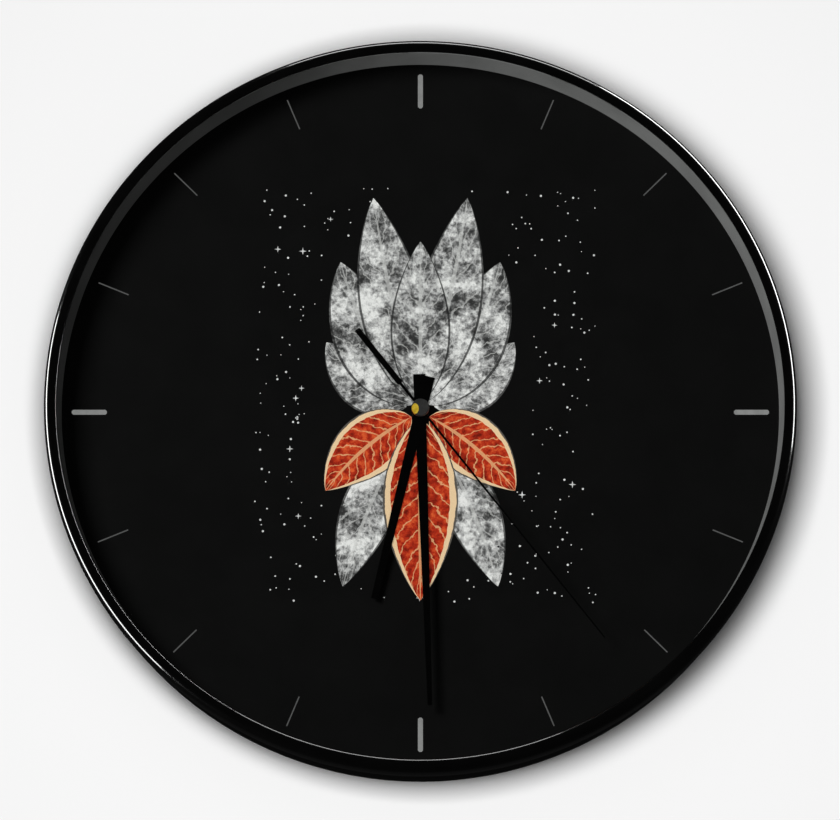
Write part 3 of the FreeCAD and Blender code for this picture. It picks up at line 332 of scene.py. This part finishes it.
def clear_of_spray(x, z):
    """Whether a place lies outside the rough outline of the spray."""
    return (x / SPRAY_HALF_WIDTH) ** 2 + ((z - SPRAY_MIDDLE_HEIGHT) / SPRAY_HALF_HEIGHT) ** 2 > 1


def dial_dots():
    """Small pale specks and a few four-pointed sparkles about the spray, as one mesh."""
    chance = random.Random(DOT_SEED)
    points = []
    faces = []
    outlines = []
    while len(outlines) < SPECK_COUNT + SPARKLE_COUNT:
        x = chance.uniform(*DOT_SPAN_X) * MM
        z = chance.uniform(*DOT_SPAN_Z) * MM
        if not clear_of_spray(x, z):
            continue
        if len(outlines) < SPECK_COUNT:
            outlines.append(star_outline(x, z, chance.choice(SPECK_REACHES) * MM, SPECK_WAIST_SHARE))
        else:
            outlines.append(star_outline(x, z, chance.uniform(*SPARKLE_SPAN) * MM, SPARKLE_WAIST_SHARE))
    front = DIAL_DEPTH + 2 * INK_THICKNESS
    back = DIAL_DEPTH + INK_BACK_SHARE * INK_THICKNESS
    for corners in outlines:
        first = len(points)
        total = len(corners)
        points += [Vector((x, -front, z)) for x, z in corners]
        points += [Vector((x, -back, z)) for x, z in corners]
        faces.append(tuple(range(first, first + total)))
        faces.append(tuple(reversed(range(first + total, first + 2 * total))))
        for number in range(total):
            follow = (number + 1) % total
            faces.append((first + number, first + total + number, first + total + follow, first + follow))
    return make_object("dial_dots", points, faces)


# Material helpers

RELIEF_DEPTH = 0.1 * MM
COAT_ROUGHNESS = 0.04
WEAR_SCALE = 90
WEAR_SHARE = 0.15
TONE_SPAN = (0.35, 0.65)
GLASS_INDEX = 1.45


def new_material(name):
    material = bpy.data.materials.new(name)
    material.use_nodes = True
    nodes = material.node_tree.nodes
    nodes.clear()
    return material, nodes, material.node_tree.links


def node(nodes, kind, **settings):
    made = nodes.new(kind)
    for key, setting in settings.items():
        setattr(made, key, setting)
    return made


def math_node(nodes, links, operation, first, second=None):
    made = node(nodes, "ShaderNodeMath", operation=operation)
    for socket, source in ((made.inputs[0], first), (made.inputs[1], second)):
        if isinstance(source, (int, float)):
            socket.default_value = source
        elif source is not None:
            links.new(source, socket)
    return made.outputs[0]


def own_axes(nodes, links):
    """A piece's own coordinates, split into X, Y and Z."""
    place = node(nodes, "ShaderNodeTexCoord")
    split = node(nodes, "ShaderNodeSeparateXYZ")
    links.new(place.outputs["Object"], split.inputs["Vector"])
    return split


def noise(nodes, links, scale, detail=4.0, crispness=0.5):
    """Noise laid over a piece in its own coordinates, in metres."""
    place = node(nodes, "ShaderNodeTexCoord")
    grain = node(nodes, "ShaderNodeTexNoise")
    grain.inputs["Scale"].default_value = scale
    grain.inputs["Detail"].default_value = detail
    grain.inputs["Roughness"].default_value = crispness
    links.new(place.outputs["Object"], grain.inputs["Vector"])
    return grain.outputs["Fac"]


def ramp(nodes, links, source, stops):
    made = node(nodes, "ShaderNodeValToRGB")
    elements = made.color_ramp.elements
    while len(elements) < len(stops):
        elements.new(0.5)
    for element, (position, colour) in zip(elements, stops):
        element.position = position
        element.color = (*colour, 1)
    links.new(source, made.inputs["Fac"])
    return made.outputs["Color"]


def mix(nodes, links, factor, first, second):
    made = node(nodes, "ShaderNodeMix", data_type="RGBA")
    for socket, source in ((made.inputs["Factor"], factor), (made.inputs[6], first), (made.inputs[7], second)):
        if isinstance(source, tuple):
            socket.default_value = (*source, 1)
        else:
            links.new(source, socket)
    return made.outputs[2]


def grey(level):
    return (level, level, level)


def finish_surface(nodes, links, colour, roughness, metallic=0.0, coat=0.0, specular=0.5,
                   bump=0.0, bump_scale=0.0):
    """The shader of every solid surface: a colour, a roughness that wanders and, if asked, a fine relief."""
    shader = node(nodes, "ShaderNodeBsdfPrincipled")
    links.new(colour, shader.inputs["Base Color"])
    shader.inputs["Metallic"].default_value = metallic
    shader.inputs["Coat Weight"].default_value = coat
    shader.inputs["Coat Roughness"].default_value = COAT_ROUGHNESS
    shader.inputs["Specular IOR Level"].default_value = specular
    wear = node(nodes, "ShaderNodeMapRange")
    wear.inputs["To Min"].default_value = roughness * (1 - WEAR_SHARE)
    wear.inputs["To Max"].default_value = min(roughness * (1 + WEAR_SHARE), 1)
    links.new(noise(nodes, links, WEAR_SCALE), wear.inputs["Value"])
    links.new(wear.outputs["Result"], shader.inputs["Roughness"])
    if bump:
        relief = node(nodes, "ShaderNodeBump")
        relief.inputs["Strength"].default_value = bump
        relief.inputs["Distance"].default_value = RELIEF_DEPTH
        links.new(noise(nodes, links, bump_scale, 2.0), relief.inputs["Height"])
        links.new(relief.outputs["Normal"], shader.inputs["Normal"])
    output = node(nodes, "ShaderNodeOutputMaterial")
    links.new(shader.outputs["BSDF"], output.inputs["Surface"])
    return shader


def plain(name, dark, light, roughness, scale=60, **more):
    """A material whose tone wanders between two near colours."""
    material, nodes, links = new_material(name)
    low, high = TONE_SPAN
    tone = ramp(nodes, links, noise(nodes, links, scale), [(low, dark), (high, light)])
    finish_surface(nodes, links, tone, roughness, **more)
    return material


# Materials of their own kind

def clear_glass():
    """A clear sheet that lets light straight through and mirrors by its angle."""
    material, nodes, links = new_material("lens_clear")
    gloss = node(nodes, "ShaderNodeBsdfGlossy")
    gloss.inputs["Roughness"].default_value = 0.02
    through = node(nodes, "ShaderNodeBsdfTransparent")
    tint = ramp(nodes, links, noise(nodes, links, 8), [(0, (0.985, 0.99, 0.985)), (1, (0.995, 1, 0.995))])
    links.new(tint, through.inputs["Color"])
    angle = node(nodes, "ShaderNodeFresnel")
    # Light crosses both faces unbent, so the inner side of a face mirrors no more than its outer side.
    side = node(nodes, "ShaderNodeNewGeometry")
    inside = math_node(nodes, links, "MULTIPLY", side.outputs["Backfacing"], -2.0)
    index = math_node(nodes, links, "POWER", GLASS_INDEX, math_node(nodes, links, "ADD", inside, 1.0))
    links.new(index, angle.inputs["IOR"])
    blend = node(nodes, "ShaderNodeMixShader")
    links.new(angle.outputs["Fac"], blend.inputs["Fac"])
    links.new(through.outputs["BSDF"], blend.inputs[1])
    links.new(gloss.outputs["BSDF"], blend.inputs[2])
    output = node(nodes, "ShaderNodeOutputMaterial")
    links.new(blend.outputs["Shader"], output.inputs["Surface"])
    return material


def leaf_lines(nodes, links):
    """How far across a leaf (0 at the rib, 1 at the margin) and the lines of its rib and side veins."""
    vein_count = 11.0
    vein_slant = 2.2
    vein_waver = 1.1
    vein_width_share = 0.13
    rib_width_share = 0.06
    place = node(nodes, "ShaderNodeUVMap", uv_map="leaf")
    split = node(nodes, "ShaderNodeSeparateXYZ")
    links.new(place.outputs["UV"], split.inputs["Vector"])
    off = math_node(nodes, links, "SUBTRACT", split.outputs["Y"], 0.5)
    across = math_node(nodes, links, "MULTIPLY", math_node(nodes, links, "ABSOLUTE", off), 2.0)
    waver = math_node(nodes, links, "MULTIPLY", noise(nodes, links, 320), vein_waver)
    slope = math_node(nodes, links, "SUBTRACT",
                      math_node(nodes, links, "MULTIPLY", split.outputs["X"], vein_count),
                      math_node(nodes, links, "MULTIPLY", across, vein_slant))
    wave = math_node(nodes, links, "FRACT", math_node(nodes, links, "ADD", slope, waver))
    veins = math_node(nodes, links, "LESS_THAN", wave, vein_width_share)
    rib = math_node(nodes, links, "LESS_THAN", across, rib_width_share)
    return across, math_node(nodes, links, "MAXIMUM", veins, rib)


def grey_leaf():
    """Mottled grey with pale veins and a dark outline."""
    material, nodes, links = new_material("leaf_grey")
    across, lines = leaf_lines(nodes, links)
    broad = noise(nodes, links, 80, 8.0, 0.6)
    fine = noise(nodes, links, 520, 8.0, 0.72)
    blend = math_node(nodes, links, "ADD", math_node(nodes, links, "MULTIPLY", broad, 0.55),
                      math_node(nodes, links, "MULTIPLY", fine, 0.45))
    tone = ramp(nodes, links, blend, [
        (0.41, grey(0.03)), (0.465, grey(0.14)), (0.515, grey(0.42)), (0.575, (0.82, 0.82, 0.81))])
    pale_lines = math_node(nodes, links, "MULTIPLY", lines, 0.5)
    veined = mix(nodes, links, pale_lines, tone, (0.62, 0.62, 0.61))
    edge = math_node(nodes, links, "GREATER_THAN", across, 0.93)
    rimmed = mix(nodes, links, math_node(nodes, links, "MULTIPLY", edge, 0.85), veined, grey(0.015))
    finish_surface(nodes, links, rimmed, 0.7, specular=0.2)
    return material


def red_leaf():
    """Red pulp with pale veins and a cream margin of uneven width."""
    material, nodes, links = new_material("leaf_red")
    across, lines = leaf_lines(nodes, links)
    pulp = ramp(nodes, links, noise(nodes, links, 380, 8.0, 0.68), [
        (0.36, (0.16, 0.01, 0.005)), (0.5, (0.45, 0.028, 0.01)), (0.64, (0.72, 0.11, 0.03))])
    veined = mix(nodes, links, math_node(nodes, links, "MULTIPLY", lines, 0.75), pulp, (0.8, 0.42, 0.2))
    waver = math_node(nodes, links, "MULTIPLY", noise(nodes, links, 300), 0.1)
    ragged = math_node(nodes, links, "ADD", across, waver)
    margin = math_node(nodes, links, "GREATER_THAN", ragged, 0.84)
    creamy = mix(nodes, links, margin, veined, (0.83, 0.6, 0.36))
    edge = math_node(nodes, links, "GREATER_THAN", ragged, 1.0)
    rimmed = mix(nodes, links, edge, creamy, (0.1, 0.09, 0.08))
    finish_surface(nodes, links, rimmed, 0.7, specular=0.2)
    return material


def cap_with_painted_highlight():
    """Dark paint with a painted highlight, a brass-coloured oval spot on the left of the cap."""
    # The oval where the painted highlight sits, in the cap's own coordinates: middle and half width.
    highlight_spot = {"X": (-2.1 * MM, 1.45 * MM), "Z": (-0.65 * MM, 2.1 * MM)}
    material, nodes, links = new_material("cap_black")
    split = own_axes(nodes, links)
    reach = []
    for axis, (middle, half) in highlight_spot.items():
        gap = math_node(nodes, links, "SUBTRACT", split.outputs[axis], middle)
        off = math_node(nodes, links, "ABSOLUTE", math_node(nodes, links, "DIVIDE", gap, half))
        reach.append(math_node(nodes, links, "POWER", off, 2.0))
    far = math_node(nodes, links, "ADD", reach[0], reach[1])
    waver = math_node(nodes, links, "MULTIPLY", noise(nodes, links, 900), 0.4)
    # Inside the oval the dark paint gives way to a painted highlight in brass colours.
    painted_highlight = math_node(nodes, links, "LESS_THAN", math_node(nodes, links, "ADD", far, waver), 1.2)
    paint = ramp(nodes, links, noise(nodes, links, 500), [(0.3, grey(0.02)), (0.7, grey(0.035))])
    highlight_colour = ramp(nodes, links, noise(nodes, links, 700), [(0.3, (0.62, 0.4, 0.02)), (0.7, (0.85, 0.6, 0.06))])
    shader = finish_surface(nodes, links, mix(nodes, links, painted_highlight, paint, highlight_colour), 0.4)
    # The painted highlight is also made a little metallic.
    links.new(math_node(nodes, links, "MULTIPLY", painted_highlight, 0.3), shader.inputs["Metallic"])
    return material


def cell_sleeve():
    """Film printed in two tones, with the metal showing at the ends."""
    band_start = 12 * MM
    bare_end = 0.5 * MM
    material, nodes, links = new_material("battery_sleeve")
    along = own_axes(nodes, links).outputs["X"]
    film = ramp(nodes, links, noise(nodes, links, 40), [(0.3, (0.015, 0.03, 0.08)), (0.7, (0.02, 0.04, 0.1))])
    band = math_node(nodes, links, "GREATER_THAN", along, band_start)
    printed = mix(nodes, links, band, film, (0.62, 0.33, 0.07))
    off = math_node(nodes, links, "ABSOLUTE", math_node(nodes, links, "ADD", along, NUB_LENGTH / 2))
    end = math_node(nodes, links, "GREATER_THAN", off, CELL_HALF - bare_end)
    shader = finish_surface(nodes, links, mix(nodes, links, end, printed, (0.6, 0.6, 0.61)), 0.3)
    links.new(end, shader.inputs["Metallic"])
    return material


def wound_wire():
    """Fine enamelled wire: turns side by side along the coil."""
    material, nodes, links = new_material("winding_copper")
    place = node(nodes, "ShaderNodeTexCoord")
    turns = node(nodes, "ShaderNodeTexWave", wave_type="BANDS", bands_direction="X")
    turns.inputs["Scale"].default_value = 1400
    turns.inputs["Distortion"].default_value = 0.4
    links.new(place.outputs["Object"], turns.inputs["Vector"])
    tone = ramp(nodes, links, turns.outputs["Fac"], [(0, (0.2, 0.06, 0.02)), (1, (0.62, 0.25, 0.1))])
    finish_surface(nodes, links, tone, 0.35, metallic=0.8)
    return material


MATERIALS = {
    "frame_black": plain("frame_black", grey(0.0008), grey(0.0014), 0.16, coat=1.0),
    "lens_clear": clear_glass(),
    "spacer_black": plain("spacer_black", grey(0.045), grey(0.055), 0.5, bump=0.15, bump_scale=2500),
    "dial_black": plain("dial_black", grey(0.0044), grey(0.0052), 0.65, specular=0.1),
    "bar_ink": plain("bar_ink", grey(0.23), grey(0.275), 0.7, scale=300, specular=0.1),
    "line_ink": plain("line_ink", grey(0.085), grey(0.1), 0.7, scale=300, specular=0.1),
    "pan_black": plain("pan_black", grey(0.017), grey(0.022), 0.5, scale=900, bump=0.5, bump_scale=1800),
    "case_black": plain("case_black", grey(0.018), grey(0.026), 0.5, bump=0.3, bump_scale=2600),
    "cover_black": plain("cover_black", grey(0.022), grey(0.03), 0.5, bump=0.3, bump_scale=2600),
    "plate_white": plain("plate_white", (0.7, 0.7, 0.67), (0.76, 0.76, 0.73), 0.45),
    "lamination": plain("lamination", grey(0.28), grey(0.36), 0.35, scale=400, metallic=1.0),
    "bobbin_white": plain("bobbin_white", (0.74, 0.74, 0.69), (0.8, 0.8, 0.76), 0.45),
    "winding_copper": wound_wire(),
    "board_brown": plain("board_brown", (0.2, 0.1, 0.045), (0.27, 0.14, 0.06), 0.6, scale=500),
    "chip_black": plain("chip_black", grey(0.008), grey(0.014), 0.3, bump=0.2, bump_scale=900),
    "crystal_can": plain("crystal_can", grey(0.6), grey(0.72), 0.22, metallic=1.0),
    "battery_sleeve": cell_sleeve(),
    "contact_metal": plain("contact_metal", (0.66, 0.65, 0.62), (0.76, 0.75, 0.72), 0.25, metallic=1.0),
    "rotor_white": plain("rotor_white", (0.76, 0.76, 0.72), (0.82, 0.82, 0.78), 0.4),
    "magnet": plain("magnet", grey(0.09), grey(0.13), 0.4, scale=900, metallic=0.6),
    "wheel_white": plain("wheel_white", (0.78, 0.78, 0.73), (0.85, 0.85, 0.8), 0.4),
    "wheel_brown": plain("wheel_brown", (0.28, 0.15, 0.07), (0.35, 0.2, 0.1), 0.4),
    "cannon_brass": plain("cannon_brass", (0.62, 0.43, 0.16), (0.72, 0.52, 0.22), 0.3, metallic=1.0),
    "knob_black": plain("knob_black", grey(0.022), grey(0.03), 0.45, bump=0.2, bump_scale=2600),
    "hand_black": plain("hand_black", grey(0.0006), grey(0.001), 0.6, scale=200, specular=0.1),
    "cap_black": cap_with_painted_highlight(),
    "leaf_grey": grey_leaf(),
    "leaf_red": red_leaf(),
    "dot_ink": plain("dot_ink", grey(0.55), grey(0.8), 0.7, scale=900, specular=0.2),
}


def dress(thing, material):
    thing.data.materials.clear()
    thing.data.materials.append(MATERIALS[material])


def add_piece(thing, body, slot, material=None):
    dress(thing, material or slot)
    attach(thing, body)


# Stage: a pale wall and the lamps

def wall_sheet():
    """A pale wall, which can be looked through from behind."""
    wall = make_object("wall", [(-WALL_REACH, WALL_GAP, -WALL_REACH), (WALL_REACH, WALL_GAP, -WALL_REACH),
                                (WALL_REACH, WALL_GAP, WALL_REACH), (-WALL_REACH, WALL_GAP, WALL_REACH)],
                       [(0, 1, 2, 3)])
    material, nodes, links = new_material("wall_paint")
    tone = ramp(nodes, links, noise(nodes, links, 3), [(0, grey(0.9)), (1, grey(0.92))])
    paint = node(nodes, "ShaderNodeBsdfDiffuse")
    links.new(tone, paint.inputs["Color"])
    clear = node(nodes, "ShaderNodeBsdfTransparent")
    side = node(nodes, "ShaderNodeNewGeometry")
    blend = node(nodes, "ShaderNodeMixShader")
    links.new(side.outputs["Backfacing"], blend.inputs["Fac"])
    links.new(paint.outputs["BSDF"], blend.inputs[1])
    links.new(clear.outputs["BSDF"], blend.inputs[2])
    output = node(nodes, "ShaderNodeOutputMaterial")
    links.new(blend.outputs["Shader"], output.inputs["Surface"])
    wall.data.materials.append(material)
    wall.visible_diffuse = False
    wall.visible_glossy = False
    wall.visible_shadow = False
    wall.visible_transmission = False
    return wall


def room():
    """Pale to the camera, dim in reflections, and a soft light from all sides."""
    world = bpy.data.worlds.new("room")
    bpy.context.scene.world = world
    world.use_nodes = True
    nodes = world.node_tree.nodes
    links = world.node_tree.links
    nodes.clear()
    ambient = node(nodes, "ShaderNodeBackground")
    ambient.inputs["Color"].default_value = (1, 1, 1, 1)
    ambient.inputs["Strength"].default_value = 0.12
    shown = node(nodes, "ShaderNodeBackground")
    shown.inputs["Color"].default_value = (0.9, 0.9, 0.9, 1)
    dim = node(nodes, "ShaderNodeBackground")
    dim.inputs["Color"].default_value = (0.006, 0.006, 0.006, 1)
    rays = node(nodes, "ShaderNodeLightPath")
    first = node(nodes, "ShaderNodeMixShader")
    links.new(rays.outputs["Is Glossy Ray"], first.inputs["Fac"])
    links.new(ambient.outputs["Background"], first.inputs[1])
    links.new(dim.outputs["Background"], first.inputs[2])
    second = node(nodes, "ShaderNodeMixShader")
    links.new(rays.outputs["Is Camera Ray"], second.inputs["Fac"])
    links.new(first.outputs["Shader"], second.inputs[1])
    links.new(shown.outputs["Background"], second.inputs[2])
    output = node(nodes, "ShaderNodeOutputWorld")
    links.new(second.outputs["Shader"], output.inputs["Surface"])


def lamp(name, place, target, size, power, height=None):
    light = bpy.data.lights.new(name, "AREA")
    light.shape = "RECTANGLE"
    light.size = size
    light.size_y = height or size
    light.energy = power
    thing = bpy.data.objects.new(name, light)
    thing.location = place
    thing.rotation_euler = (Vector(target) - Vector(place)).to_track_quat("-Z", "Y").to_euler()
    bpy.context.scene.collection.objects.link(thing)
    thing.visible_camera = False
    return thing


def soft_lamp(name, place, target, size, power):
    """A lamp that lights surfaces but shows in no reflection."""
    thing = lamp(name, place, target, size, power)
    thing.visible_glossy = False
    return thing


def link_light(light, receiver, state="INCLUDE"):
    """Lets a lamp light only one object, or leave that object out."""
    linked = bpy.data.collections.new(light.name + "_" + receiver.name)
    linked.objects.link(receiver)
    linked.collection_objects[0].light_linking.link_state = state
    light.light_linking.receiver_collection = linked


def lamps(ring, wall_ring, dial):
    # The key is aimed past the clock to the upper right, which lights the wall evenly.
    key = soft_lamp("key_lamp", (-0.086, -1.3, -0.178), (0.267, 0, 0.553), 0.46, 18.1)
    link_light(key, dial, "EXCLUDE")
    # The dial's own lamp stands to the upper left, so that the case ring shades the dial's left edge.
    link_light(soft_lamp("dial_lamp", (-1.38, -1.6, 0.72), HUB, 0.9, 66), dial)
    # Long lamps beside the case draw the thin lines of light along its bead and its lip.
    link_light(lamp("right_edge_lamp", (0.81, 0.09, 0.59), (0, 0.09, 0), 0.36, 20, 1.2), ring)
    link_light(lamp("left_edge_lamp", (-0.955, 0.14, -0.1), (0, 0.14, 0), 0.36, 17, 1.2), ring)
    link_light(lamp("top_edge_lamp", (0.05, -0.1, 0.99), (0, -0.1, 0), 0.3, 3.5, 0.7), ring)
    link_light(soft_lamp("inner_wall_lamp", (-1.0, -0.75, -0.12), HUB, 0.4, 64), wall_ring)
    soft_lamp("back_lamp", (0.6, 1.4, 0.9), HUB, 0.8, 45)


def camera():
    """A long lens, a little below the middle of the dial."""
    middle = Vector((0, -DIAL_DEPTH, 0))
    place = middle + CAMERA_DISTANCE * Vector((0, -math.cos(CAMERA_RISE), math.sin(CAMERA_RISE)))
    data = bpy.data.cameras.new("camera")
    data.lens = CAMERA_LENS
    data.sensor_width = CAMERA_SENSOR
    data.clip_start = CAMERA_NEAR
    data.shift_x = SHIFT_RIGHT_PIXELS / FRAME_PIXELS
    data.shift_y = SHIFT_UP_PIXELS / FRAME_PIXELS
    thing = bpy.data.objects.new("camera", data)
    thing.location = place
    thing.rotation_euler = (middle - place).to_track_quat("-Z", "Y").to_euler()
    bpy.context.scene.collection.objects.link(thing)
    bpy.context.scene.camera = thing


# The clock, dressed

for part in frame["record"]["subparts"]:
    dress(frame["nodes"][part["node"]], part["material_slot"])

ring = case_ring()
add_piece(ring, "case", "frame_black")
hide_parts("frame_ring")
wall_ring = inner_wall()
add_piece(wall_ring, "case", "spacer_black")
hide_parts("spacer_ring")
cap = hub_cap()
add_piece(cap, "seconds", "cap_black")
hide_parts("second_hand_cap")
power = cell()
add_piece(power, "case", "battery_sleeve")
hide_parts("battery")

for name, material, direction, start, length, width, curl, level in SPRAY:
    piece = leaf(name, direction, start * MM, length * MM, width * MM, curl, level)
    add_piece(piece, "case", "line_ink", material)
add_piece(dial_dots(), "case", "bar_ink", "dot_ink")

# The scene round it

wall_sheet()
room()
lamps(ring, wall_ring, frame["nodes"]["dial_plate"])
camera()
bpy.context.scene.view_settings.view_transform = "Standard"
